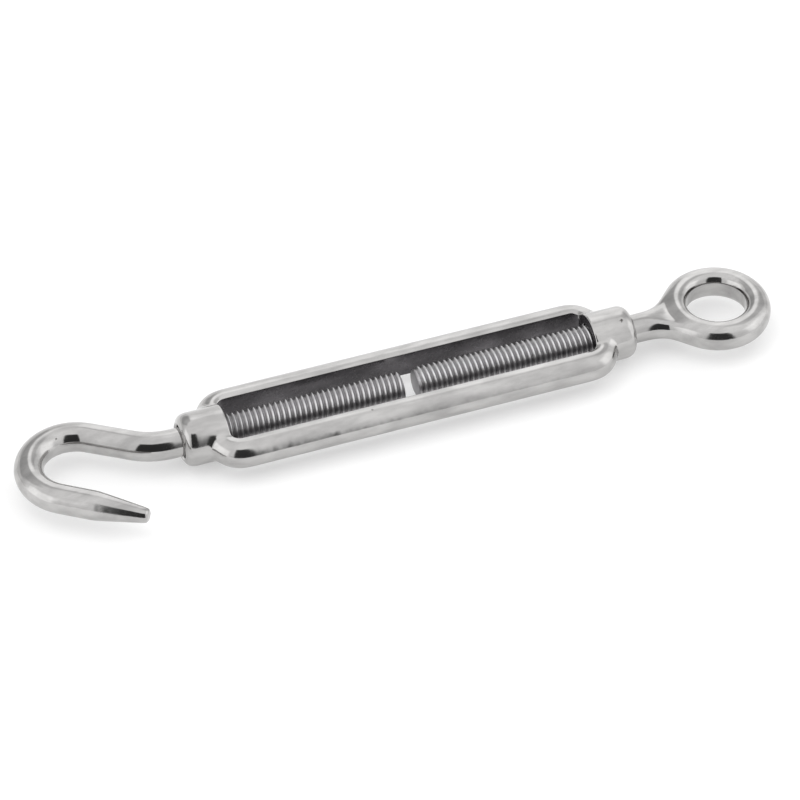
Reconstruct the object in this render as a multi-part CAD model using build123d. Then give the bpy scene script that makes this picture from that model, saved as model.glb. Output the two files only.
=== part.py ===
from build123d import *
from math import cos, radians, sin, sqrt, tan
import os

# Hook and eye turnbuckle with an open body.
# X runs along the screw axis, the hook points to -X and the eye to +X, Z is square to the plane of
# the body's two rails. The origin is the middle of the body, on the screw axis. Millimetres.

# ---- driving sizes -------------------------------------------------------------------------------

# Screw thread, M6 coarse. The hook's thread is left-hand and the eye's is right-hand.
thread_diameter = 6.0
thread_pitch = 1.0
thread_flank_angle = 60.0
thread_crest_share = 0.125
thread_root_share = 0.25
thread_end_chamfer = 0.6
plain_shank_diameter = 5.3

# Body: two rails, one boss at each end.
window_length = 69.5
window_width = 10.7
window_corner_radius = 1.8
rail_section_radius = 2.8
rail_flat_height = 5.1
boss_diameter = 9.8
boss_length = 8.25
boss_face_round = 1.1
boss_blend_radius = 1.2
bore_running_clearance = 0.08
bore_rim_chamfer = 0.35

# Where the two bolts stand in the body.
rod_end_gap = 2.7
thread_inset_in_boss = 1.1

# Hook bolt.
hook_stem_length = 1.5
hook_neck_bend_radius = 12.0
hook_neck_bend_angle = 34.0
hook_bowl_radius = 8.0
hook_bowl_sweep = 178.6
hook_tip_run = 5.6
hook_taper_length = 10.7
hook_point_diameter = 2.6
hook_point_round = 0.5

# Eye bolt.
eye_stem_length = 2.75
eye_neck_fillet_radius = 7.0
eye_outer_diameter = 20.4
eye_hole_diameter = 11.1
eye_height = 5.3
eye_hole_land = 2.6
eye_outer_round = 2.3
eye_neck_height = 4.7
eye_neck_round = 2.2
eye_stem_taper = 3.0

# ---- derived sizes -------------------------------------------------------------------------------

thread_radius = thread_diameter / 2
shank_radius = plain_shank_diameter / 2
bore_radius = thread_radius + bore_running_clearance
boss_radius = boss_diameter / 2
window_half = window_length / 2
face_x = window_half + boss_length
rod_end_x = rod_end_gap / 2

crest_width = thread_crest_share * thread_pitch
root_width = thread_root_share * thread_pitch
flank_width = (thread_pitch - crest_width - root_width) / 2
thread_depth = flank_width / tan(radians(thread_flank_angle / 2))
root_radius = thread_radius - thread_depth


def threaded_rod():
    """Threaded rod from its inner end at rod_end_x towards +X, with the plain shank behind it."""
    thread_limit = face_x - thread_inset_in_boss
    turns = int((thread_limit - rod_end_x - thread_end_chamfer) / thread_pitch)
    outline = [(rod_end_x, 0.0)]
    outline.append((rod_end_x, thread_radius - thread_end_chamfer))
    outline.append((rod_end_x + thread_end_chamfer, thread_radius))
    start = rod_end_x + thread_end_chamfer + crest_width
    for turn in range(turns):
        crest_end = start + turn * thread_pitch
        outline.append((crest_end, thread_radius))
        outline.append((crest_end + flank_width, root_radius))
        outline.append((crest_end + flank_width + root_width, root_radius))
        outline.append((crest_end + 2 * flank_width + root_width, thread_radius))
    thread_end = start + turns * thread_pitch
    runout = (thread_radius - shank_radius) / tan(radians(thread_flank_angle / 2))
    outline.append((thread_end, thread_radius))
    outline.append((thread_end + runout, shank_radius))
    outline.append((face_x, shank_radius))
    outline.append((face_x, 0.0))
    profile = make_face(Polyline(outline, close=True))
    return revolve(profile, Axis.X, 360)


# ---- body ----------------------------------------------------------------------------------------

# One rail section: a round bar with a flat on its inner side. It runs round the whole window, so
# the ends of the rails pass through the bosses as one loop.
flat_half = rail_flat_height / 2
flat_offset = sqrt(rail_section_radius**2 - flat_half**2)
rail_depth = flat_offset + rail_section_radius
seam_tolerance = 0.05
boss_step_left = 0.75
boss_land_left = 0.3
face_room = boss_radius - bore_radius - bore_rim_chamfer - boss_land_left
boss_rim_round = min(boss_face_round, face_room)

loop_path = RectangleRounded(window_length, window_width, window_corner_radius).wire()
section_plane = Plane(origin=(0, window_width / 2, 0), x_dir=(0, 1, 0), z_dir=(1, 0, 0))
section_round = Pos(flat_offset, 0, 0) * Circle(rail_section_radius)
section_keep = Pos(rail_section_radius, 0, 0) * Rectangle(2 * rail_section_radius, 2 * rail_depth)
rail_section = section_plane * (section_round & section_keep)
straight_half = window_half - window_corner_radius
side_offset = window_width / 2


def rail_bar():
    """One straight rail on the +Y side."""
    return Pos(-straight_half, 0, 0) * extrude(rail_section, 2 * straight_half, dir=(1, 0, 0))


def loop_corner():
    """The quarter turn at the +X, +Y corner of the window."""
    centre = (straight_half, side_offset - window_corner_radius, 0)
    section = Pos(straight_half, 0, 0) * rail_section
    return revolve(section, Axis(centre, (0, 0, -1)), 90)


def end_bar():
    """The cross bar at the +X end of the window."""
    half = side_offset - window_corner_radius
    plane = Plane(origin=(window_half, -half, 0), x_dir=(1, 0, 0), z_dir=(0, -1, 0))
    section = plane * (section_round & section_keep)
    return extrude(section, 2 * half, dir=(0, 1, 0))


rail = rail_bar()
corner = loop_corner()
bar = end_bar()
loop = rail + corner + bar
loop += mirror(corner, Plane.XZ)
loop += mirror(rail, Plane.XZ)
loop += mirror(corner, Plane.YZ)
loop += mirror(mirror(corner, Plane.YZ), Plane.XZ)
loop += mirror(bar, Plane.YZ)


def boss(side):
    """Boss at the end with the sign given by side, with its outer rim rounded."""
    blank = Cylinder(boss_radius, boss_length, rotation=(0, 90, 0))
    blank = Pos(side * (face_x - boss_length / 2), 0, 0) * blank
    rim = blank.edges().filter_by(GeomType.CIRCLE).sort_by(Axis.X)[-1 if side > 0 else 0]
    return fillet(rim, boss_rim_round)


body = loop + boss(1) + boss(-1)


def valley_edges(solid):
    """The seams where the bosses run into the loop."""
    found = []
    for edge in solid.edges():
        middle = edge @ 0.5
        radius = sqrt(middle.Y**2 + middle.Z**2)
        outside_window = abs(middle.X) > window_half
        on_boss = abs(radius - boss_radius) < seam_tolerance
        if outside_window and on_boss and edge.geom_type == GeomType.BSPLINE:
            found.append(edge)
    return found


blend_room = boss_radius - rail_section_radius - boss_step_left
body = fillet(valley_edges(body), min(boss_blend_radius, blend_room))
for side in (-1, 1):
    drill = Cylinder(bore_radius, 2 * boss_length, rotation=(0, 90, 0))
    body -= Pos(side * face_x, 0, 0) * drill


def is_outer_rim(edge):
    """True for the edge of a bore in the outer face of its boss."""
    same_radius = abs(edge.radius - bore_radius) < seam_tolerance / 2
    return same_radius and abs(abs(edge.center().X) - face_x) < seam_tolerance


rims = [edge for edge in body.edges().filter_by(GeomType.CIRCLE) if is_outer_rim(edge)]
body = chamfer(rims, bore_rim_chamfer)

# ---- hook bolt -----------------------------------------------------------------------------------

# The rod leaves the boss straight, bends to +Y, runs on, then turns round the bowl and ends in a
# straight tapered tip. The run's length puts the middle of the bowl on the screw axis.
neck_angle = radians(hook_neck_bend_angle)
neck_rise = hook_neck_bend_radius * (1 - cos(neck_angle))
hook_neck_run = (hook_bowl_radius * cos(neck_angle) - neck_rise) / sin(neck_angle)
stem_start = Vector(-face_x, 0, 0)
stem = Line(stem_start, stem_start + Vector(-hook_stem_length, 0, 0))
neck = JernArc(stem @ 1, stem % 1, hook_neck_bend_radius, -hook_neck_bend_angle)
run = Line(neck @ 1, neck @ 1 + (neck % 1) * hook_neck_run)
bowl = JernArc(run @ 1, run % 1, hook_bowl_radius, hook_bowl_sweep)
lead = Line(bowl @ 1, bowl @ 1 + (bowl % 1) * hook_tip_run)
hook_path = Wire([stem, neck, run, bowl, lead])
hook_section = Plane(origin=stem @ 0, z_dir=stem % 0) * Circle(shank_radius)
hook_rod = sweep(hook_section, path=hook_path)
tip_plane = Plane(origin=lead @ 1, z_dir=lead % 1)
tip = Cone(shank_radius, hook_point_diameter / 2, hook_taper_length,
           align=(Align.CENTER, Align.CENTER, Align.MIN))
tip = fillet(tip.edges().filter_by(GeomType.CIRCLE).sort_by(Axis.Z)[-1], hook_point_round)
hook_bolt = Rot(0, 0, 180) * threaded_rod() + hook_rod + tip_plane * tip

# ---- eye bolt ------------------------------------------------------------------------------------

eye_outer = eye_outer_diameter / 2
eye_inner_round = (eye_height - eye_hole_land) / 2
smallest_flat = 0.1
eye_hole = eye_hole_diameter / 2
fillet_reach = sqrt((eye_outer + eye_neck_fillet_radius) ** 2
                    - (shank_radius + eye_neck_fillet_radius) ** 2)
neck_start = face_x + eye_stem_length
eye_x = neck_start + fillet_reach
touch_share = eye_outer / (eye_outer + eye_neck_fillet_radius)
touch_x = eye_x - fillet_reach * touch_share
touch_y = (shank_radius + eye_neck_fillet_radius) * touch_share

ring_section = Pos((eye_hole + eye_outer) / 2, 0, 0) * Rectangle(eye_outer - eye_hole, eye_height)
outer_corners = ring_section.vertices().sort_by(Axis.X)[-2:]
outer_room = min(eye_outer - eye_hole - eye_inner_round, eye_height / 2) - smallest_flat
ring_section = fillet(outer_corners, min(eye_outer_round, outer_room))
inner_corners = ring_section.vertices().sort_by(Axis.X)[:2]
ring_section = fillet(inner_corners, eye_inner_round)
ring = Pos(eye_x, 0, 0) * revolve(Plane.XZ * ring_section, Axis.Z, 360)

# The neck is a flat web between two concave flanks that run from the stem to the ring.
near_start = Vector(neck_start, shank_radius, 0)
near_touch = Vector(touch_x, touch_y, 0)
far_start = Vector(neck_start, -shank_radius, 0)
far_touch = Vector(touch_x, -touch_y, 0)
flank_middle = Vector(neck_start, shank_radius + eye_neck_fillet_radius, 0)
flank_half_turn = (near_touch - flank_middle).get_angle(near_start - flank_middle) / 2
flank_mid_x = neck_start + eye_neck_fillet_radius * sin(radians(flank_half_turn))
flank_mid_y = flank_middle.Y - eye_neck_fillet_radius * cos(radians(flank_half_turn))
near_flank = ThreePointArc(near_start, Vector(flank_mid_x, flank_mid_y, 0), near_touch)
far_flank = ThreePointArc(far_touch, Vector(flank_mid_x, -flank_mid_y, 0), far_start)
web_back = Polyline(near_touch, Vector(eye_x, touch_y, 0), Vector(eye_x, -touch_y, 0), far_touch)
web_front = Line(far_start, near_start)
web_plan = make_face([near_flank, web_back, far_flank, web_front])
web = extrude(web_plan, eye_neck_height / 2, both=True)


def is_flank_edge(edge):
    """True for the edges where the web's flanks meet its top and bottom."""
    middle = edge @ 0.5
    flat = abs(abs(middle.Z) - eye_neck_height / 2) < seam_tolerance
    return flat and edge.geom_type == GeomType.CIRCLE


web = fillet([edge for edge in web.edges() if is_flank_edge(edge)], eye_neck_round)
web -= Pos(eye_x, 0, 0) * Cylinder((eye_hole + eye_outer) / 2, 2 * eye_neck_height)
stem_round = Cylinder(shank_radius, eye_stem_length, rotation=(0, 90, 0))
stem_round = Pos(face_x + eye_stem_length / 2, 0, 0) * stem_round
stem_tail = Cone(shank_radius, eye_neck_height / 2, eye_stem_taper, rotation=(0, 90, 0))
stem_tail = Pos(neck_start + eye_stem_taper / 2, 0, 0) * stem_tail
eye_bolt = threaded_rod() + stem_round + stem_tail + web + ring

# ---- write ---------------------------------------------------------------------------------------

body.label = "frame"
hook_bolt.label = "hook_bolt"
eye_bolt.label = "eye_bolt"
os.makedirs("parts", exist_ok=True)
export_step(body, "parts/frame.step")
export_step(hook_bolt, "parts/hook_bolt.step")
export_step(eye_bolt, "parts/eye_bolt.step")
print("eye centre x", round(eye_x, 3), "outer faces at x", round(face_x, 3))
print("hook bowl centre", bowl.arc_center)
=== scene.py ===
"""Rigging turnbuckle: cast body with two rails, hook bolt with a left-hand thread, eye bolt with a
right-hand thread, on a pale floor. Laid out as an add-on and run as a script."""

import math

import bmesh
import bpy
from mathutils import Matrix, Vector


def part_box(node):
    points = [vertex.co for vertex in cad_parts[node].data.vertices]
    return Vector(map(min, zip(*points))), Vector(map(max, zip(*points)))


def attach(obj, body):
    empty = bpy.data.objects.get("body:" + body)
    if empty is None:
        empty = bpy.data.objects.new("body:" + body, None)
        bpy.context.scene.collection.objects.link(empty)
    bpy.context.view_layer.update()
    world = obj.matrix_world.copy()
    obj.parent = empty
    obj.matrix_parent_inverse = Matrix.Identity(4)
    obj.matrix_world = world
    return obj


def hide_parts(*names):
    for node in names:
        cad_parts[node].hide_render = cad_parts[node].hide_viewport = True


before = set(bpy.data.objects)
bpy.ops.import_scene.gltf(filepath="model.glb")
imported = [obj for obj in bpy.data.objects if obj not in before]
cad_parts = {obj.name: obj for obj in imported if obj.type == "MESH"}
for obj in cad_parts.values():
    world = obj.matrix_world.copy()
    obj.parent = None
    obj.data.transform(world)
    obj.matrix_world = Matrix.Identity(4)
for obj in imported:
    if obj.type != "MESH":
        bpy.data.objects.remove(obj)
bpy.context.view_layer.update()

bl_info = {
    "name": "Rigging turnbuckle",
    "version": (1, 0, 0),
    "blender": (4, 5, 0),
    "location": "3D View > Sidebar > Turnbuckle",
    "description": "Builds a hook and eye turnbuckle around its packed CAD model",
    "category": "Add Mesh",
}

MM = 0.001
MERGE = 1e-6

# A subdivision surface lies inside its cage, so each round cage is drawn a little too large.
BOSS_GROWTH = 1.0065
RAIL_GROWTH = 1.013
NECK_GROWTH = 1.016
SURFACE_LEVELS = 3
WINDOW_CREASE = 0.4
BORE_CREASE = 0.7
LAND_CREASE = 0.45
SHOULDER = 4.0 * MM

# Steps along each swept length. The ring's steps go from its far side to the neck.
STEPS_PER_TURN = 32
NECK_STEPS = 10
RUN_STEPS = 4
BOWL_STEPS = 56
LEAD_STEPS = 3
RING_STEPS = 8

# Lengths on the thread, in pitches.
LEAD_IN = 2
EXTRA_TURNS = 3
RUN_OUT = 1.2
THREAD_CUT = 1.3
LEFT_HAND = -1
RIGHT_HAND = 1
EYE_THREAD_TURN = math.radians(140)

body_low, body_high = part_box("frame")
eye_low, eye_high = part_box("eye_bolt")

FACE_X = body_high.x
BOSS_RADIUS = body_high.z
ROD_END = eye_low.x
THREAD_RADIUS = eye_high.z
EYE_OUTER = eye_high.y
EYE_X = eye_high.x - EYE_OUTER


# ---- settings ------------------------------------------------------------------------------------


def length(name, text, default):
    """A size in metres that the sidebar shows with the scene's unit."""
    return bpy.props.FloatProperty(
        name=name, description=text, default=default, unit="LENGTH", precision=5)


def angle(name, text, degrees):
    """An angle, stored in radians."""
    return bpy.props.FloatProperty(
        name=name, description=text, default=math.radians(degrees), unit="ROTATION")


def share(name, text, default):
    """A plain number between nought and one."""
    return bpy.props.FloatProperty(
        name=name, description=text, default=default, min=0.0, max=1.0, subtype="FACTOR")


def tint(name, text, default):
    """A colour without alpha."""
    return bpy.props.FloatVectorProperty(
        name=name, description=text, default=default, size=3, min=0.0, max=1.0, subtype="COLOR")


class BodySettings(bpy.types.PropertyGroup):
    window_half: length("Half window length", "From the middle to the end of the window", 34.75 * MM)
    window_side: length("Half window width", "From the axis to a rail's inner face", 5.35 * MM)
    corner: length("Window corner", "Radius of the window's corners in plan", 1.8 * MM)
    rail_radius: length("Rail radius", "Radius of a rail's round side", 2.8 * MM)
    rail_flat: length("Rail flat", "Half the height of a rail's flat inner face", 2.55 * MM)
    bore: length("Bore", "Radius of the hole through each boss", 3.08 * MM)
    rim_round: length("Rim round", "Rounding of a boss's outer rim", 1.5 * MM)
    rim_chamfer: length("Rim chamfer", "Chamfer at the mouth of the hole", 0.35 * MM)


class ThreadSettings(bpy.types.PropertyGroup):
    pitch: length("Pitch", "Distance from crest to crest", 1.0 * MM)
    root: length("Root radius", "Radius at the bottom of the groove", 2.43 * MM)
    shank: length("Shank radius", "Radius of the plain shank", 2.65 * MM)
    inset: length("Inset", "From the boss's outer face to the last full thread", 1.6 * MM)
    hook_chamfer: length("Hook rod chamfer", "Chamfer on the hook rod's end", 0.3 * MM)
    eye_chamfer: length("Eye rod chamfer", "Chamfer on the eye rod's end", 0.6 * MM)


class HookSettings(bpy.types.PropertyGroup):
    stem: length("Stem", "Straight length outside the boss", 1.5 * MM)
    neck_radius: length("Neck radius", "Radius of the bend out of the axis", 12.0 * MM)
    neck_angle: angle("Neck angle", "Turn of the neck", 34.0)
    bowl_radius: length("Bowl radius", "Radius of the bowl, to the rod's middle", 8.0 * MM)
    bowl_sweep: angle("Bowl sweep", "Turn of the bowl", 178.6)
    lead: length("Lead", "Straight length between bowl and taper", 5.6 * MM)
    taper: length("Taper", "Length of the tapered tip", 10.7 * MM)


class EyeSettings(bpy.types.PropertyGroup):
    hole: length("Hole radius", "Radius of the eye's hole", 5.55 * MM)
    half_height: length("Half height", "Half the ring's height", 2.65 * MM)
    land: length("Half land", "Half the height of the hole's straight wall", 1.3 * MM)
    stem: length("Stem", "Straight length outside the boss", 2.75 * MM)
    flank: length("Flank radius", "Radius of the neck's concave sides", 7.0 * MM)


class FinishSettings(bpy.types.PropertyGroup):
    steel: tint("Polished steel", "Reflection colour of the polished steel", (0.51, 0.503, 0.497))
    blow_hole: bpy.props.FloatVectorProperty(
        name="Blow hole", description="Middle of the small blow hole in the eye end's boss",
        default=(40.4 * MM, -1.7 * MM, 4.6 * MM), size=3, subtype="XYZ", unit="LENGTH")
    gloss: share("Polish roughness", "Roughness of the polished surfaces", 0.09)
    # The thread's colour goes from the root tint to the crest tint by radius: painted shade in the
    # grooves.
    rod: tint("Thread crest", "Reflection colour of the thread's crests", (0.64, 0.635, 0.64))
    root: tint("Thread root", "Reflection colour at the bottom of the thread", (0.34, 0.33, 0.34))
    # The window tint is very dark: painted shade of the window's recess on the dull cast surface.
    skin: tint("Window skin", "Colour of the dull skin inside the window", (0.11, 0.105, 0.11))
    floor: tint("Floor", "Colour of the floor", (0.62, 0.62, 0.62))
    glow: share("Floor glow", "Light that comes up through the translucent floor", 0.42)


class StageSettings(bpy.types.PropertyGroup):
    azimuth: angle("Azimuth", "Turn of the camera round the object", -20.09)
    elevation: angle("Elevation", "Height of the camera above the horizon", 42.99)
    distance: length("Distance", "From the camera to the object's middle", 795.5 * MM)
    lens: bpy.props.FloatProperty(
        name="Lens", description="Focal length in millimetres", default=199.6, unit="CAMERA")
    aim_right: length("Aim right", "How far the object stands right of the view's middle", 1.41 * MM)
    aim_up: length("Aim up", "How far the object stands above the view's middle", 2.66 * MM)


SETTINGS = {
    "tb_body": BodySettings,
    "tb_thread": ThreadSettings,
    "tb_hook": HookSettings,
    "tb_eye": EyeSettings,
    "tb_finish": FinishSettings,
    "tb_stage": StageSettings,
}


# ---- mesh helpers --------------------------------------------------------------------------------


def chain(bm, points):
    """Vertices at the points, joined in a row by edges."""
    verts = [bmesh.ops.create_vert(bm, co=point)["vert"][0] for point in points]
    edges = [bm.edges.new(pair) for pair in zip(verts, verts[1:])]
    return verts, edges


def pull(bm, verts, edges):
    """Extrudes a row of edges and gives the new row, in the same order."""
    places = {}
    result = bmesh.ops.extrude_edge_only(bm, edges=edges)["geom"]
    new = [item for item in result if isinstance(item, bmesh.types.BMVert)]
    for vert in verts:
        places[vert] = min(new, key=lambda other: (other.co - vert.co).length_squared)
        new.remove(places[vert])
    row = [places[vert] for vert in verts]
    return row, [bm.edges.get(pair) for pair in zip(row, row[1:])]


def pull_to(bm, verts, edges, points):
    """Extrudes a row of edges so that its copy passes through the points."""
    row, row_edges = pull(bm, verts, edges)
    for vert, point in zip(row, points):
        vert.co = point
    return row, row_edges


def bridge(bm, first, second):
    """Faces between two rows with the same number of vertices."""
    edges = [bm.edges.get(pair) or bm.edges.new(pair) for pair in zip(first, first[1:])]
    edges += [bm.edges.get(pair) or bm.edges.new(pair) for pair in zip(second, second[1:])]
    bmesh.ops.bridge_loops(bm, edges=edges)


def mirror_all(bm, axes):
    """Mirrors everything across the given axes and joins the halves."""
    for axis in axes:
        geom = bm.verts[:] + bm.edges[:] + bm.faces[:]
        bmesh.ops.mirror(bm, geom=geom, matrix=Matrix(), merge_dist=MERGE, axis=axis)
    bmesh.ops.remove_doubles(bm, verts=bm.verts, dist=MERGE)
    bmesh.ops.recalc_face_normals(bm, faces=bm.faces)


def radius_of(point):
    """Distance from the screw axis."""
    return math.hypot(point.y, point.z)


def finish_mesh(bm, name, materials):
    """Turns a bmesh into a smooth object at the origin, with all its faces turned the same way.

    Known fault: for the cast body that way is inwards, so its signed volume is below nought.
    The two bolts face outwards."""
    bmesh.ops.recalc_face_normals(bm, faces=bm.faces)
    for face in bm.faces:
        face.smooth = True
    mesh = bpy.data.meshes.new(name)
    bm.to_mesh(mesh)
    bm.free()
    for material in materials:
        mesh.materials.append(material)
    piece = bpy.data.objects.new(name, mesh)
    bpy.context.scene.collection.objects.link(piece)
    return piece


def subdivided(bm, levels):
    """A new bmesh holding the subdivision surface of a cage."""
    mesh = bpy.data.meshes.new("cage")
    bm.to_mesh(mesh)
    bm.free()
    cage = bpy.data.objects.new("cage", mesh)
    bpy.context.scene.collection.objects.link(cage)
    surface = cage.modifiers.new("Surface", "SUBSURF")
    surface.levels = levels
    surface.render_levels = levels
    graph = bpy.context.evaluated_depsgraph_get()
    smooth = bmesh.new()
    smooth.from_mesh(bpy.data.meshes.new_from_object(cage.evaluated_get(graph)))
    bpy.data.objects.remove(cage)
    return smooth


def crease(bm, wanted, amount):
    """Creases every edge that the test accepts."""
    layer = bm.edges.layers.float.get("crease_edge") or bm.edges.layers.float.new("crease_edge")
    for edge in bm.edges:
        if wanted(edge):
            edge[layer] = amount


# ---- materials -----------------------------------------------------------------------------------


class Nodes:
    """Adds and joins shader nodes in one material."""

    def __init__(self, name):
        self.material = bpy.data.materials.new(name)
        self.material.use_nodes = True
        self.tree = self.material.node_tree
        self.shader = self.tree.nodes["Principled BSDF"]
        self.coords = self.tree.nodes.new("ShaderNodeTexCoord").outputs["Object"]

    def add(self, kind, **values):
        """A node with the given properties."""
        node = self.tree.nodes.new(kind)
        for key, value in values.items():
            setattr(node, key, value)
        return node

    def join(self, source, target):
        """A link between two sockets."""
        self.tree.links.new(source, target)

    def math(self, operation, first, second=None):
        """A Math node on a socket and a socket or number."""
        node = self.add("ShaderNodeMath", operation=operation)
        for index, value in enumerate((first, second)):
            if value is None:
                continue
            if isinstance(value, (int, float)):
                node.inputs[index].default_value = value
            else:
                self.join(value, node.inputs[index])
        return node.outputs[0]

    def noise(self, scale, detail=2.0, stretch=(1, 1, 1)):
        """Noise on the object's own coordinates."""
        mapping = self.add("ShaderNodeMapping")
        mapping.inputs["Scale"].default_value = stretch
        self.join(self.coords, mapping.inputs["Vector"])
        noise = self.add("ShaderNodeTexNoise")
        noise.inputs["Scale"].default_value = scale
        noise.inputs["Detail"].default_value = detail
        self.join(mapping.outputs[0], noise.inputs["Vector"])
        return noise.outputs["Fac"]

    def span(self, value, low, high, to_low, to_high):
        """Maps a value from one range to another and clamps it."""
        node = self.add("ShaderNodeMapRange")
        for index, number in enumerate((low, high, to_low, to_high), start=1):
            node.inputs[index].default_value = number
        self.join(value, node.inputs[0])
        return node.outputs[0]

    def blend(self, factor, first, second):
        """Mixes two colours."""
        node = self.add("ShaderNodeMix", data_type="RGBA")
        node.inputs[6].default_value = (*first, 1)
        node.inputs[7].default_value = (*second, 1)
        self.join(factor, node.inputs[0])
        return node.outputs[2]

    def bump(self, height, distance, strength=1.0, under=None):
        """A bump, laid on an earlier one if there is one."""
        node = self.add("ShaderNodeBump")
        node.inputs["Strength"].default_value = strength
        node.inputs["Distance"].default_value = distance
        self.join(height, node.inputs["Height"])
        if under is not None:
            self.join(under, node.inputs["Normal"])
        return node.outputs["Normal"]


def polished_steel(name, steel, roughness, pit=None):
    """Mirror-polished stainless steel with soft waviness, fine polishing lines, faint haze, sparse pin
    holes and, on a casting, one blow hole at the given place. The holes are dented by a bump and painted
    near black as the shade inside them."""
    nodes = Nodes(name)
    nodes.shader.inputs["Metallic"].default_value = 1.0
    dull = tuple(channel * 0.72 for channel in steel)
    haze = nodes.noise(420, 5, (0.35, 1, 1))
    patchy = nodes.noise(160, 3)
    nodes.join(nodes.span(patchy, 0.3, 0.75, roughness * 0.8, roughness * 2.0),
               nodes.shader.inputs["Roughness"])
    wave = nodes.bump(nodes.noise(260, 2), 0.00007, 0.8)
    normal = nodes.bump(nodes.noise(950, 3, (0.12, 1, 1)), 0.000016, 0.5, wave)
    cells = nodes.add("ShaderNodeTexVoronoi")
    cells.inputs["Scale"].default_value = 330
    nodes.join(nodes.coords, cells.inputs["Vector"])
    split = nodes.add("ShaderNodeSeparateColor")
    nodes.join(cells.outputs["Color"], split.inputs[0])
    chosen = nodes.math("GREATER_THAN", split.outputs[0], 0.93)
    near = nodes.span(cells.outputs["Distance"], 0.05, 0.09, 1, 0)
    hole = nodes.math("MULTIPLY", chosen, near)
    if pit is not None:
        gap = nodes.add("ShaderNodeVectorMath", operation="DISTANCE")
        gap.inputs[1].default_value = pit
        nodes.join(nodes.coords, gap.inputs[0])
        ragged = nodes.span(nodes.noise(1800, 2), 0.3, 0.7, -0.00014, 0.00014)
        reach = nodes.math("ADD", gap.outputs["Value"], ragged)
        hole = nodes.math("MAXIMUM", hole, nodes.span(reach, 0.0001, 0.00036, 1, 0))
    normal = nodes.bump(nodes.math("MULTIPLY", hole, -1.0), 0.00012, 0.8, normal)
    nodes.join(normal, nodes.shader.inputs["Normal"])
    tone = nodes.blend(nodes.span(haze, 0.35, 0.7, 0, 1), steel, dull)
    # The pits are coloured near black: painted shade inside each hole.
    mix = nodes.add("ShaderNodeMix", data_type="RGBA")
    mix.inputs[7].default_value = (0.09, 0.085, 0.08, 1)
    nodes.join(hole, mix.inputs[0])
    nodes.join(tone, mix.inputs[6])
    nodes.join(mix.outputs[2], nodes.shader.inputs["Base Color"])
    return nodes.material


def thread_steel_with_painted_shade(name, crest, root, root_radius, crest_radius):
    """Rolled thread, coloured from a dark root to a bright crest by radius, which is painted shade in
    the grooves, with random speckle.
    """
    nodes = Nodes(name)
    nodes.shader.inputs["Metallic"].default_value = 1.0
    split = nodes.add("ShaderNodeSeparateXYZ")
    nodes.join(nodes.coords, split.inputs[0])
    across = nodes.math("POWER", split.outputs[1], 2.0)
    upward = nodes.math("POWER", split.outputs[2], 2.0)
    radius = nodes.math("SQRT", nodes.math("ADD", across, upward))
    # Darker towards the root and lighter at the crest: painted shade in the thread's grooves.
    height = nodes.span(radius, root_radius, crest_radius, 0, 1)
    speckle = nodes.span(nodes.noise(1500, 3), 0.3, 0.75, -0.25, 0.2)
    level = nodes.math("ADD", height, speckle)
    level = nodes.span(level, 0.05, 0.8, 0, 1)
    nodes.join(nodes.blend(level, root, crest), nodes.shader.inputs["Base Color"])
    nodes.join(nodes.span(level, 0, 1, 0.45, 0.3), nodes.shader.inputs["Roughness"])
    grain = nodes.bump(nodes.noise(2600, 2), 0.00003, 0.4)
    nodes.join(grain, nodes.shader.inputs["Normal"])
    return nodes.material


def window_skin_and_painted_shade(name, colour):
    """The dull cast surface inside the window that the polishing wheel doesn't reach; its very dark
    colour is painted shade of the window's recess.
    """
    nodes = Nodes(name)
    nodes.shader.inputs["Metallic"].default_value = 1.0
    pale = tuple(channel * 1.9 for channel in colour)
    cloud = nodes.noise(260, 5, (0.5, 1, 1))
    # Very dark base colour with random cloudy tone: painted shade of the window's recess.
    nodes.join(nodes.blend(nodes.span(cloud, 0.4, 0.75, 0, 1), colour, pale),
               nodes.shader.inputs["Base Color"])
    nodes.join(nodes.span(nodes.noise(700, 3), 0.3, 0.7, 0.2, 0.36),
               nodes.shader.inputs["Roughness"])
    grain = nodes.bump(nodes.noise(1300, 4), 0.00008, 0.5)
    nodes.join(grain, nodes.shader.inputs["Normal"])
    return nodes.material


# ---- body ----------------------------------------------------------------------------------------


def rail_chain(sizes):
    """Half a rail's section, as (outward, height) pairs from the flat's middle to the outside."""
    offset = math.sqrt(sizes.rail_radius**2 - sizes.rail_flat**2)
    flat = [(0, 0), (0, 0.36 * sizes.rail_flat), (0, 0.7 * sizes.rail_flat), (0, sizes.rail_flat)]
    control = sizes.rail_radius * RAIL_GROWTH
    curve = [(offset + control * math.cos(math.radians(turn)),
              control * math.sin(math.radians(turn))) for turn in (95, 75, 55, 35, 17, 0)]
    return flat + curve


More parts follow.
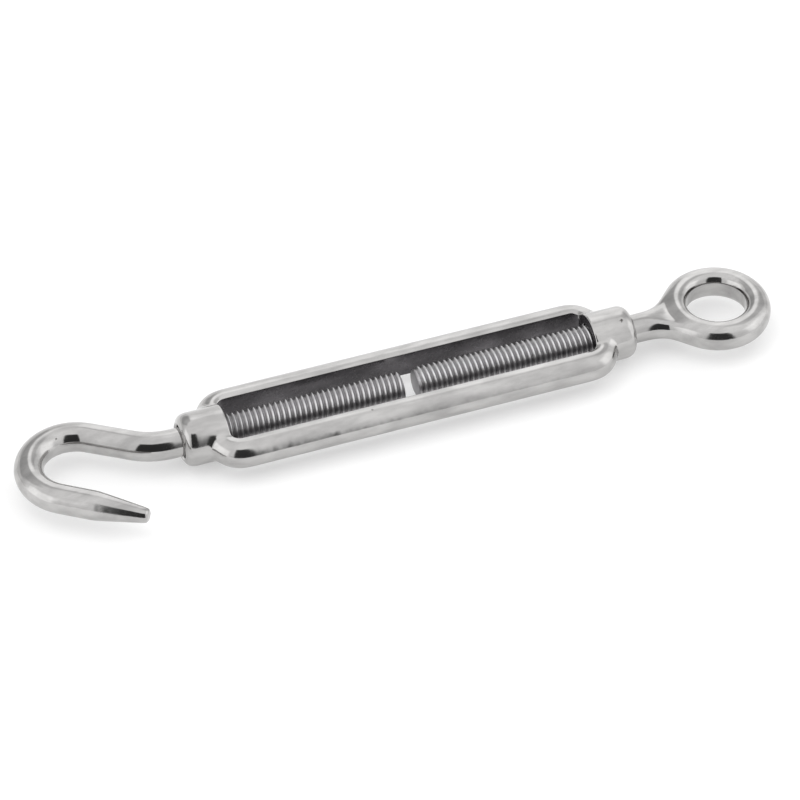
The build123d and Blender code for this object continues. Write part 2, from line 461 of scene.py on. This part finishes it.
def body_cage(sizes):
    """The cage of one eighth of the body, mirrored to the whole."""
    bm = bmesh.new()
    section = rail_chain(sizes)
    centre_x = sizes.window_half - sizes.corner
    centre_y = sizes.window_side - sizes.corner

    def rail_points(x):
        return [Vector((x, sizes.window_side + out, up)) for out, up in section]

    row, edges = chain(bm, rail_points(0))
    for x in (0.28, 0.55, 0.78, 0.93, 1.0):
        row, edges = pull_to(bm, row, edges, rail_points(x * centre_x))
    for turn in (22, 44, 64):
        bend = math.radians(turn)
        points = []
        for out, up in section:
            reach = sizes.corner + out
            points.append(Vector((centre_x + reach * math.sin(bend),
                                  centre_y + reach * math.cos(bend), up)))
        row, edges = pull_to(bm, row, edges, points)
    rail_row = row

    control = BOSS_RADIUS * BOSS_GROWTH
    turns = [math.radians(turn) for turn in (0, 13, 25, 36, 50, 63, 76.5, 90)]

    def ring(x, radius, angles):
        return [Vector((x, radius * math.cos(a), radius * math.sin(a))) for a in angles]

    rim = sizes.rim_round
    shoulder = sizes.window_half + SHOULDER
    mouth = sizes.bore * BOSS_GROWTH
    row, edges = chain(bm, ring(sizes.window_half, mouth, turns))
    bore_row = row
    row, edges = pull_to(bm, row, edges, ring(sizes.window_half + 1.0 * MM, mouth, turns))
    row, edges = pull_to(bm, row, edges, ring(FACE_X - 1.5 * MM, mouth, turns))
    row, edges = pull_to(bm, row, edges, ring(FACE_X - sizes.rim_chamfer, mouth, turns))
    row, edges = pull_to(bm, row, edges, ring(FACE_X, mouth + sizes.rim_chamfer, turns))
    row, edges = pull_to(bm, row, edges, ring(FACE_X, control - rim, turns))
    row, edges = pull_to(bm, row, edges, ring(FACE_X - 0.3 * rim, control - 0.3 * rim, turns))
    row, edges = pull_to(bm, row, edges, ring(FACE_X - rim, control, turns))
    row, edges = pull_to(bm, row, edges, ring(FACE_X - 1.7 * rim, control, turns))
    row, edges = pull_to(bm, row, edges, ring(shoulder + 0.7 * MM, control, turns))
    row, edges = pull_to(bm, row, edges, ring(shoulder, control, turns))
    for index, back in enumerate((0.0, 0.15 * MM, 0.6 * MM, 1.3 * MM)):
        row[index].co.x -= back
    outer = row[:4]
    column = []
    row, edges = row[3:], edges[3:]
    for x in (1.75 * MM, 0.9 * MM, 0.0):
        row, edges = pull_to(bm, row, edges, ring(sizes.window_half + x, control, turns[3:]))
        column.append(row[0])
    inner_row = row
    flat_points = [Vector((sizes.window_half, 4.05 * MM, section[index][1])) for index in (0, 1, 2)]
    inner, _ = chain(bm, flat_points)
    junction = inner + column[::-1] + outer[::-1]
    bridge(bm, rail_row, junction)
    bridge(bm, bore_row, inner + inner_row)
    mirror_all(bm, ("X", "Y", "Z"))
    return bm


class TB_OT_body(bpy.types.Operator):
    """Build the cast body: two rails in one loop with a drilled boss at each end"""

    bl_idname = "turnbuckle.body"
    bl_label = "Build body"

    def execute(self, context):
        sizes = context.scene.tb_body
        finish = context.scene.tb_finish
        cage = body_cage(sizes)
        tolerance = 0.02 * MM

        def at_window_edge(edge):
            for vert in edge.verts:
                x, y, z = (abs(part) for part in vert.co)
                on_flat_edge = abs(z - sizes.rail_flat) < tolerance and y < sizes.window_side + tolerance
                on_boss_edge = (abs(x - sizes.window_half) < tolerance and z > sizes.rail_flat
                                and radius_of(vert.co) > BOSS_RADIUS * 0.99)
                if not (on_flat_edge or on_boss_edge):
                    return False
            return True

        def at_bore_edge(edge):
            for vert in edge.verts:
                x = abs(vert.co.x)
                mouth = abs(x - FACE_X) < tolerance or abs(x - FACE_X + sizes.rim_chamfer) < tolerance
                inner = abs(x - sizes.window_half) < tolerance
                if radius_of(vert.co) > sizes.bore * 1.2 or not (mouth or inner):
                    return False
            return abs(edge.verts[0].co.x - edge.verts[1].co.x) < tolerance

        crease(cage, at_window_edge, WINDOW_CREASE)
        crease(cage, at_bore_edge, BORE_CREASE)

        def inside_window(face):
            places = [Vector((abs(part) for part in vert.co)) for vert in face.verts]
            on_boss = all(abs(place.x - sizes.window_half) < tolerance for place in places)
            on_rail = all(place.z < sizes.rail_flat + tolerance
                          and place.x < sizes.window_half + tolerance
                          and place.y < sizes.window_side + tolerance for place in places)
            return on_boss or on_rail

        # Faces inside the window take the second material, painted dark as the window's shade.
        for face in cage.faces:
            face.material_index = 1 if inside_window(face) else 0
        steel = polished_steel("Polished casting", tuple(finish.steel), finish.gloss,
                               tuple(finish.blow_hole))
        skin = window_skin_and_painted_shade("Window skin", tuple(finish.skin))
        surface = subdivided(cage, SURFACE_LEVELS)
        piece = finish_mesh(surface, "cast_body", [steel, skin])
        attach(piece, "body")
        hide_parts("frame")
        return {"FINISHED"}


# ---- threaded rods -------------------------------------------------------------------------------

def threaded_rod(bm, sizes, hand, chamfer):
    """A rolled thread from the rod's inner end to its run-out, along +X. Gives the open end loop."""
    pitch = sizes.pitch
    crest = THREAD_RADIUS
    root = sizes.root
    edge = root + 0.05 * MM
    profile = [(0.0, root), (0.12, edge), (0.28, (edge + crest) / 2), (0.435, crest - 0.02 * MM),
               (0.5, crest), (0.565, crest - 0.02 * MM), (0.72, (edge + crest) / 2),
               (0.88, edge), (1.0, root)]
    start = ROD_END - LEAD_IN * pitch
    last = FACE_X - sizes.inset
    turns = math.ceil((last - start) / pitch) + EXTRA_TURNS
    verts, edges = chain(bm, [Vector((start + x * pitch, 0, r)) for x, r in profile])
    bmesh.ops.spin(bm, geom=verts + edges, cent=(0, 0, 0), axis=(1, 0, 0),
                   dvec=(pitch / STEPS_PER_TURN, 0, 0), angle=hand * turns * 2 * math.pi,
                   steps=turns * STEPS_PER_TURN, use_merge=False)
    bmesh.ops.remove_doubles(bm, verts=bm.verts, dist=4 * MERGE)
    for vert in bm.verts:
        radius = radius_of(vert.co)
        limit = crest - max(0.0, ROD_END + chamfer - vert.co.x)
        wanted = min(radius, limit)
        fade = min(max((vert.co.x - last) / (RUN_OUT * pitch), 0.0), 1.0)
        fade = fade * fade * (3 - 2 * fade)
        wanted += (sizes.shank - wanted) * fade
        vert.co.y *= wanted / radius
        vert.co.z *= wanted / radius
    everything = bm.verts[:] + bm.edges[:] + bm.faces[:]
    cut = bmesh.ops.bisect_plane(bm, geom=everything, dist=MERGE, plane_co=(ROD_END, 0, 0),
                                 plane_no=(-1, 0, 0), clear_outer=True)
    rim = [item for item in cut["geom_cut"] if isinstance(item, bmesh.types.BMEdge)]
    bmesh.ops.edgeloop_fill(bm, edges=rim)
    for item in rim:
        item.smooth = False
    everything = bm.verts[:] + bm.edges[:] + bm.faces[:]
    cut = bmesh.ops.bisect_plane(bm, geom=everything, dist=MERGE,
                                 plane_co=(last + THREAD_CUT * pitch, 0, 0),
                                 plane_no=(1, 0, 0), clear_outer=True)
    return [item for item in cut["geom_cut"] if isinstance(item, bmesh.types.BMEdge)]


def extrude_loop(bm, edges, move):
    """Extrudes a closed loop and moves its copy. Gives the new loop."""
    result = bmesh.ops.extrude_edge_only(bm, edges=edges)["geom"]
    verts = [item for item in result if isinstance(item, bmesh.types.BMVert)]
    bmesh.ops.translate(bm, verts=verts, vec=move)
    return [item for item in result if isinstance(item, bmesh.types.BMEdge)]


def loop_verts(edges):
    """The vertices of a loop."""
    return list({vert for edge in edges for vert in edge.verts})


def spin_loop(bm, edges, centre, sweep, steps):
    """Bends a loop round a vertical line. Gives the last loop."""
    geom = loop_verts(edges) + list(edges)
    result = bmesh.ops.spin(bm, geom=geom, cent=centre, axis=(0, 0, 1), dvec=(0, 0, 0),
                            angle=sweep, steps=steps, use_merge=False)
    return [item for item in result["geom_last"] if isinstance(item, bmesh.types.BMEdge)]


def scale_loop(bm, edges, centre, factor):
    """Scales a loop about its middle."""
    bmesh.ops.scale(bm, verts=loop_verts(edges), vec=(factor, factor, factor),
                    space=Matrix.Translation(-centre))


def mark_thread(bm, thread_faces):
    """Gives the faces with a groove their own material."""
    for face in bm.faces:
        face.material_index = 1 if face in thread_faces else 0


class TB_OT_hook_bolt(bpy.types.Operator):
    """Build the hook bolt: left-hand thread, shank, neck bend, round bowl and tapered tip"""

    bl_idname = "turnbuckle.hook_bolt"
    bl_label = "Build hook bolt"

    def execute(self, context):
        thread = context.scene.tb_thread
        hook = context.scene.tb_hook
        finish = context.scene.tb_finish
        bm = bmesh.new()
        loop = threaded_rod(bm, thread, LEFT_HAND, thread.hook_chamfer)
        bmesh.ops.rotate(bm, verts=bm.verts, cent=(0, 0, 0), matrix=Matrix.Rotation(math.pi, 3, "Z"))
        thread_faces = set(bm.faces)
        at_x = loop[0].verts[0].co.x
        here = Vector((-FACE_X - hook.stem, 0, 0))
        loop = extrude_loop(bm, loop, Vector((here.x - at_x, 0, 0)))
        heading = Vector((-1, 0, 0))
        side = Vector((0, 1, 0))
        centre = here + side * hook.neck_radius
        loop = spin_loop(bm, loop, centre, -hook.neck_angle, NECK_STEPS)
        turn = Matrix.Rotation(-hook.neck_angle, 3, "Z")
        here = centre + turn @ (here - centre)
        heading = turn @ heading
        rise = hook.neck_radius * (1 - math.cos(hook.neck_angle))
        run = (hook.bowl_radius * math.cos(hook.neck_angle) - rise) / math.sin(hook.neck_angle)
        for _ in range(RUN_STEPS):
            loop = extrude_loop(bm, loop, heading * run / RUN_STEPS)
        here = here + heading * run
        centre = here + Vector((-heading.y, heading.x, 0)) * hook.bowl_radius
        loop = spin_loop(bm, loop, centre, hook.bowl_sweep, BOWL_STEPS)
        turn = Matrix.Rotation(hook.bowl_sweep, 3, "Z")
        here = centre + turn @ (here - centre)
        heading = turn @ heading
        for _ in range(LEAD_STEPS):
            loop = extrude_loop(bm, loop, heading * hook.lead / LEAD_STEPS)
        here = here + heading * hook.lead
        slope = [(0.0, 1.0), (0.06, 0.997), (0.14, 0.975), (0.3, 0.89), (0.6, 0.72), (0.9, 0.545),
                 (0.955, 0.5), (0.985, 0.45), (1.0, 0.36)]
        for (before, size), (after, next_size) in zip(slope, slope[1:]):
            step = heading * hook.taper * (after - before)
            here = here + step
            loop = extrude_loop(bm, loop, step)
            scale_loop(bm, loop, here, next_size / size)
        bmesh.ops.edgeloop_fill(bm, edges=loop)
        mark_thread(bm, thread_faces)
        piece = finish_mesh(bm, "hook_bolt_solid", bolt_finish(finish, thread, "hook"))
        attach(piece, "hook")
        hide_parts("hook_bolt")
        return {"FINISHED"}


def bolt_finish(finish, thread, name):
    """The two materials of a bolt: polished outside, rolled thread."""
    return [polished_steel("Polished " + name, tuple(finish.steel), finish.gloss),
            thread_steel_with_painted_shade("Rolled thread of the " + name, tuple(finish.rod), tuple(finish.root),
                         thread.root, THREAD_RADIUS)]


# ---- eye bolt ------------------------------------------------------------------------------------


def eye_cage(eye, thread):
    """A quarter of the ring with its flared neck, mirrored to the whole."""
    bm = bmesh.new()
    outer = EYE_OUTER
    half = eye.half_height
    width = outer - eye.hole
    section = [(eye.hole, 0), (eye.hole, eye.land), (eye.hole + 0.09 * width, 0.84 * half),
               (eye.hole + 0.27 * width, half), (eye.hole + 0.53 * width, 1.005 * half),
               (eye.hole + 0.8 * width, 0.83 * half), (eye.hole + 0.965 * width, 0.46 * half),
               (outer * 1.004, 0)]
    centre = Vector((EYE_X, 0, 0))
    row, edges = chain(bm, [Vector((EYE_X + r, 0, z)) for r, z in section])
    reach_y = thread.shank + eye.flank
    neck_x = FACE_X + eye.stem
    opening = math.pi - math.asin(reach_y / (outer + eye.flank))
    for step in range(1, RING_STEPS + 1):
        turn = Matrix.Rotation(opening * step / RING_STEPS, 3, "Z")
        points = [centre + turn @ Vector((r, 0, z)) for r, z in section]
        row, edges = pull_to(bm, row, edges, points)
    edge_column = row[5:][::-1]
    row, edges = row[:6], edges[:5]
    lift = (0.96, 0.91, 0.87)
    for step in range(1, 4):
        turn = Matrix.Rotation(opening + (math.pi - opening) * step / 3, 3, "Z")
        points = [centre + turn @ Vector((r, 0, z)) for r, z in section[:6]]
        points[5].z *= lift[step - 1]
        row, edges = pull_to(bm, row, edges, points)
        edge_column.append(row[5])

    def neck_ring(x, half_width, height, square, dish=0.0):
        points = []
        for turn in (0, 18, 36, 54, 72, 90):
            a = math.radians(turn)
            sunk = 1 - dish * max(0.0, turn - 50) / 40
            points.append(Vector((x, half_width * math.cos(a) ** square,
                                  height * sunk * math.sin(a) ** square)))
        return points

    control = thread.shank * NECK_GROWTH
    row, edges = chain(bm, neck_ring(FACE_X - 0.05 * MM, control, control, 1.0))
    row, edges = pull_to(bm, row, edges, neck_ring(FACE_X + 0.6 * MM, control, control, 1.0))
    row, edges = pull_to(bm, row, edges, neck_ring(neck_x, control, control, 1.0))
    for turn, height, square, dish in ((13, 0.97, 0.95, 0.05), (25, 0.93, 0.88, 0.14),
                                       (37, 0.89, 0.8, 0.2)):
        a = math.radians(turn)
        x = neck_x + eye.flank * math.sin(a)
        half_width = (reach_y - eye.flank * math.cos(a)) * 1.01
        points = neck_ring(x, half_width, control * height, square, dish)
        row, edges = pull_to(bm, row, edges, points)
    bridge(bm, row, edge_column)
    mirror_all(bm, ("Y", "Z"))
    return bm


class TB_OT_eye_bolt(bpy.types.Operator):
    """Build the eye bolt: right-hand thread, shank, flared neck and ring"""

    bl_idname = "turnbuckle.eye_bolt"
    bl_label = "Build eye bolt"

    def execute(self, context):
        thread = context.scene.tb_thread
        eye = context.scene.tb_eye
        finish = context.scene.tb_finish
        cage = eye_cage(eye, thread)

        def at_land(edge):
            middle = (edge.verts[0].co + edge.verts[1].co) / 2
            across = math.hypot(middle.x - EYE_X, middle.y)
            level = all(abs(abs(vert.co.z) - eye.land) < 0.01 * MM for vert in edge.verts)
            return level and across < eye.hole + 0.1 * MM

        crease(cage, at_land, LAND_CREASE)
        ring = subdivided(cage, SURFACE_LEVELS)
        bm = bmesh.new()
        threaded_rod(bm, thread, RIGHT_HAND, thread.eye_chamfer)
        bmesh.ops.rotate(bm, verts=bm.verts, cent=(0, 0, 0),
                         matrix=Matrix.Rotation(EYE_THREAD_TURN, 3, "X"))
        mark_thread(bm, set(bm.faces))
        rod = bpy.data.meshes.new("rod")
        bm.to_mesh(rod)
        bm.free()
        ring.from_mesh(rod)
        boundary = [edge for edge in ring.edges if edge.is_boundary]
        bmesh.ops.bridge_loops(ring, edges=boundary)
        piece = finish_mesh(ring, "eye_bolt_solid", bolt_finish(finish, thread, "eye"))
        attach(piece, "eye")
        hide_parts("eye_bolt")
        return {"FINISHED"}


# ---- stage ---------------------------------------------------------------------------------------


def soft_light(name, place, size, power):
    """A square area light that faces the object and is not seen in reflections."""
    data = bpy.data.lights.new(name, "AREA")
    data.shape = "RECTANGLE"
    data.size, data.size_y = size
    data.energy = power
    light = bpy.data.objects.new(name, data)
    light.location = place
    light.visible_glossy = False
    light.rotation_euler = (-Vector(place)).to_track_quat("-Z", "Y").to_euler()
    bpy.context.scene.collection.objects.link(light)
    return light


# Areas of the tent's wall that are lighter or darker than the rest: left and right edge, low and high
# edge and width of the soft border, all in degrees, and the change in brightness.
PANELS = (
    (-100, -66, -30, 34, 16, 0.6),
    (58, 90, 10, 40, 18, 0.55),
    (149, 161, -30, 42, 14, 0.45),
    (-180, -134, 22, 55, 12, -0.45),
    (172, 180, 22, 55, 6, -0.45),
    (118, 142, 28, 58, 9, -0.35),
)
LEAST_LIGHT = 0.05
FLOOR_HALF_SIZE = 3.0


def studio_world():
    """A white tent with a dark opening in front, below the camera."""
    world = bpy.data.worlds.new("Studio tent")
    bpy.context.scene.world = world
    world.use_nodes = True
    tree = world.node_tree
    nodes, links = tree.nodes, tree.links
    back = nodes["Background"]
    coords = nodes.new("ShaderNodeTexCoord").outputs["Generated"]
    split = nodes.new("ShaderNodeSeparateXYZ")
    links.new(coords, split.inputs[0])

    def math_node(operation, first, second=None):
        node = nodes.new("ShaderNodeMath")
        node.operation = operation
        for index, value in enumerate((first, second)):
            if isinstance(value, (int, float)):
                node.inputs[index].default_value = value
            elif value is not None:
                links.new(value, node.inputs[index])
        return node.outputs[0]

    def fade(value, low, high, to_low, to_high):
        node = nodes.new("ShaderNodeMapRange")
        node.interpolation_type = "SMOOTHSTEP"
        for index, number in enumerate((low, high, to_low, to_high), start=1):
            node.inputs[index].default_value = math.radians(number) if index < 3 else number
        links.new(value, node.inputs[0])
        return node.outputs[0]

    azimuth = math_node("ARCTAN2", split.outputs[0], math_node("MULTIPLY", split.outputs[1], -1.0))
    height = math_node("ARCSINE", split.outputs[2])

    def panel(left, right, low, high, soft):
        across = math_node("MULTIPLY", fade(azimuth, left - soft, left, 0, 1),
                           fade(azimuth, right, right + soft, 1, 0))
        along = math_node("MULTIPLY", fade(height, low - soft, low, 0, 1),
                          fade(height, high, high + soft, 1, 0))
        return math_node("MULTIPLY", across, along)

    level = fade(height, 0, 70, 0.9, 1.14)
    for left, right, low, high, soft, gain in PANELS:
        change = math_node("MULTIPLY", panel(left, right, low, high, soft), gain)
        level = math_node("ADD", level, change)
    doorway = math_node("MULTIPLY", math_node("MULTIPLY", fade(azimuth, -39, -37, 0, 1),
                                                 fade(azimuth, 11, 16, 1, 0)),
                        fade(height, 58, 64, 1, 0))
    level = math_node("MULTIPLY", level, math_node("SUBTRACT", 1.0, doorway))
    level = math_node("ADD", level, LEAST_LIGHT)
    links.new(level, back.inputs["Color"])
    back.inputs["Strength"].default_value = 1.0


class TB_OT_stage(bpy.types.Operator):
    """Set the floor, the soft studio light and the camera"""

    bl_idname = "turnbuckle.stage"
    bl_label = "Set stage"

    def execute(self, context):
        sizes = context.scene.tb_stage
        finish = context.scene.tb_finish
        bm = bmesh.new()
        bmesh.ops.create_grid(bm, x_segments=1, y_segments=1, size=FLOOR_HALF_SIZE)
        bmesh.ops.translate(bm, verts=bm.verts, vec=(0, 0, body_low.z))
        mesh = bpy.data.meshes.new("floor")
        bm.to_mesh(mesh)
        bm.free()
        paint = Nodes("Pale floor")
        paint.shader.inputs["Base Color"].default_value = (*finish.floor, 1)
        paint.shader.inputs["Roughness"].default_value = 0.9
        paint.shader.inputs["Emission Color"].default_value = (1, 1, 1, 1)
        paint.shader.inputs["Emission Strength"].default_value = finish.glow
        paint.shader.inputs["Specular IOR Level"].default_value = 0.1
        mesh.materials.append(paint.material)
        floor = bpy.data.objects.new("floor", mesh)
        context.scene.collection.objects.link(floor)
        studio_world()
        soft_light("Key softbox", (-0.25, 0.1, 0.75), (0.5, 0.5), 0.9)
        soft_light("Fill softbox", (0.55, 0.3, 0.6), (0.4, 0.4), 0.5)

        a, e = sizes.azimuth, sizes.elevation
        back = Vector((math.sin(a) * math.cos(e), -math.cos(a) * math.cos(e), math.sin(e)))
        data = bpy.data.cameras.new("Camera")
        data.lens = sizes.lens
        data.clip_start = 0.01
        camera = bpy.data.objects.new("Camera", data)
        camera.rotation_mode = "QUATERNION"
        camera.rotation_quaternion = (-back).to_track_quat("-Z", "Y")
        right = camera.rotation_quaternion @ Vector((1, 0, 0))
        up = camera.rotation_quaternion @ Vector((0, 1, 0))
        camera.location = back * sizes.distance - right * sizes.aim_right - up * sizes.aim_up
        context.scene.collection.objects.link(camera)
        context.scene.camera = camera
        context.scene.view_settings.view_transform = "Standard"
        return {"FINISHED"}


class TB_PT_panel(bpy.types.Panel):
    """Sizes and finishes of the turnbuckle"""

    bl_idname = "TB_PT_panel"
    bl_label = "Turnbuckle"
    bl_space_type = "VIEW_3D"
    bl_region_type = "UI"
    bl_category = "Turnbuckle"

    def draw(self, context):
        layout = self.layout
        for operator in OPERATORS:
            layout.operator(operator.bl_idname)
        for key in SETTINGS:
            box = layout.box()
            group = getattr(context.scene, key)
            for name in group.__annotations__:
                box.prop(group, name)


OPERATORS = (TB_OT_body, TB_OT_hook_bolt, TB_OT_eye_bolt, TB_OT_stage)
CLASSES = tuple(SETTINGS.values()) + OPERATORS + (TB_PT_panel,)


def register():
    """Registers the classes and hangs the settings on the scene."""
    for item in CLASSES:
        bpy.utils.register_class(item)
    for key, group in SETTINGS.items():
        setattr(bpy.types.Scene, key, bpy.props.PointerProperty(type=group))


def unregister():
    """Takes the settings and the classes away again."""
    for key in SETTINGS:
        delattr(bpy.types.Scene, key)
    for item in reversed(CLASSES):
        bpy.utils.unregister_class(item)


def main():
    """Builds every piece and the stage."""
    register()
    bpy.ops.turnbuckle.body()
    bpy.ops.turnbuckle.hook_bolt()
    bpy.ops.turnbuckle.eye_bolt()
    bpy.ops.turnbuckle.stage()


if __name__ == "__main__":
    main()
